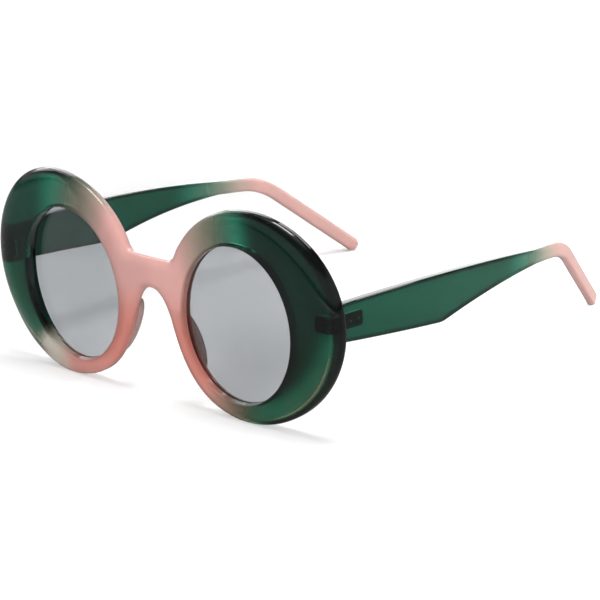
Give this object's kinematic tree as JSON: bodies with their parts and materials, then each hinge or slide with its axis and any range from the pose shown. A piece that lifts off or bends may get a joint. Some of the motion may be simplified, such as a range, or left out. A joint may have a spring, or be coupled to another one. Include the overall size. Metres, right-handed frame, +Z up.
{
  "type": "oval sunglasses",
  "caption": "Oval sunglasses with thick round rims, grey tinted lenses, bonded nose pads and wide tapering temples that fold on screw hinges.",
  "frame": {"origin": "on the table under the middle of the open sunglasses' box", "axes": "+X to the wearer's left, +Y from the front back along the temples, +Z up"},
  "size_m": [0.1358, 0.149, 0.0617],
  "materials": {
    "green_plastic": "polished, translucent, green outside blending to pink at the bridge and the tips",
    "pink_plastic": "polished translucent pink",
    "tinted_lens": "polished, lightly tinted blue-grey plastic lens",
    "steel": "fine satin"
  },
  "bodies": {
    "front": {"front_frame": "green_plastic", "lens_left": "tinted_lens", "lens_right": "tinted_lens", "nose_pad_left": "pink_plastic", "nose_pad_right": "pink_plastic", "front_hinge_leaf_left": "steel", "front_hinge_leaf_right": "steel", "hinge_screw_left": "steel", "hinge_screw_right": "steel", "front_rivet_left_upper": "steel", "front_rivet_left_lower": "steel", "front_rivet_right_upper": "steel", "front_rivet_right_lower": "steel"},
    "temple_left": {"temple_left": "green_plastic", "temple_hinge_leaf_left": "steel", "temple_rivet_left_front": "steel", "temple_rivet_left_back": "steel"},
    "temple_right": {"temple_right": "green_plastic", "temple_hinge_leaf_right": "steel", "temple_rivet_right_front": "steel", "temple_rivet_right_back": "steel"}
  },
  "joints": [
    {"name": "temple_left_fold", "type": "hinge", "parent": "front", "child": "temple_left", "pos_m": [0.0608, -0.06489, 0.03336], "axis": [0, 0, 1], "range_deg": [0, 86]},
    {"name": "temple_right_fold", "type": "hinge", "parent": "front", "child": "temple_right", "pos_m": [-0.0608, -0.06489, 0.03336], "axis": [0, 0, 1], "range_deg": [-67, 0]}
  ]
}
